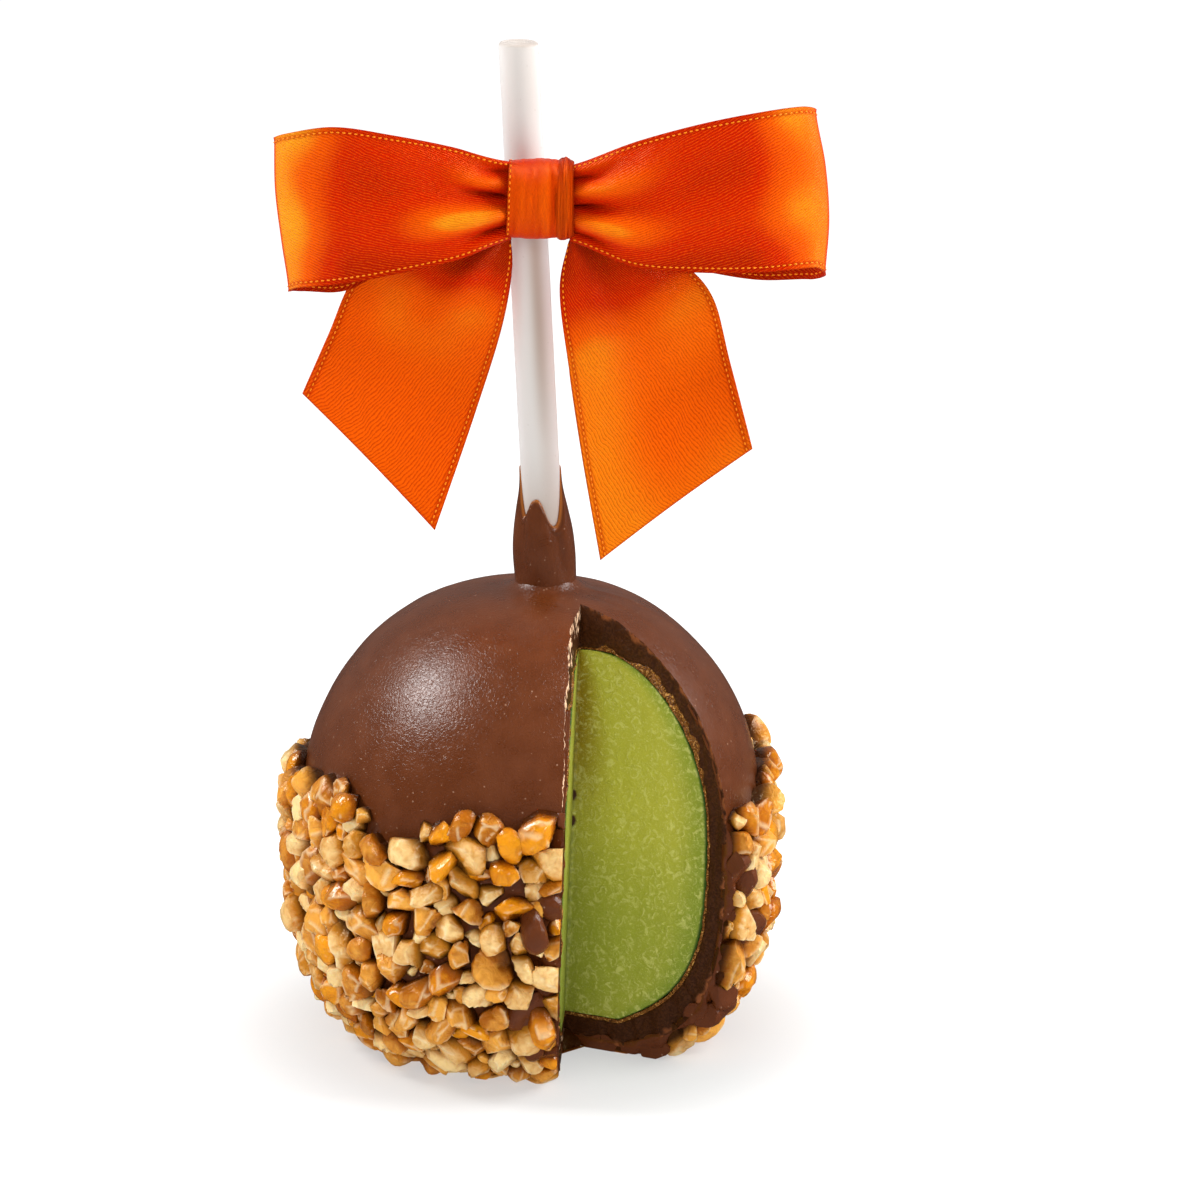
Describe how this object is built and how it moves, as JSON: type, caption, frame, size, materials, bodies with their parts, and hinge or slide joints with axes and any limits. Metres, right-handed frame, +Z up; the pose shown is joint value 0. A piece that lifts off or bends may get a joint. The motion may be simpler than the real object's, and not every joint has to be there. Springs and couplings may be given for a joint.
{
  "type": "caramel apple on a stick",
  "caption": "Chocolate and caramel coated apple on a paper stick, its lower half in chopped nuts, a wedge cut out, with a satin bow on the stick.",
  "frame": {"origin": "centre of the flat underside that the apple stands on", "axes": "+Z up along the apple and its stick, -Y towards the front with the bow's face and the cut, +X to the right as seen from the front"},
  "size_m": [0.1034, 0.095, 0.1927],
  "materials": {
    "apple_flesh": "moist yellow-green apple flesh with fine fibres",
    "caramel": "golden amber caramel, torn at the cut",
    "milk_chocolate": "satin milk chocolate with a soft broad gloss",
    "chopped_nuts": "roasted chopped peanuts, cream, tan and glossy amber",
    "paper_stick": "smooth white rolled paper",
    "satin_ribbon": "orange satin with a fine diagonal weave and stitched edges"
  },
  "bodies": {
    "root": {"apple": "apple_flesh", "caramel": "caramel", "chocolate": "milk_chocolate", "nut_coat": "chopped_nuts", "stick": "paper_stick", "ribbon_knot": "satin_ribbon", "ribbon_strap": "satin_ribbon", "ribbon_loop_left": "satin_ribbon", "ribbon_loop_right": "satin_ribbon", "ribbon_tail_left": "satin_ribbon", "ribbon_tail_right": "satin_ribbon"}
  },
  "joints": []
}
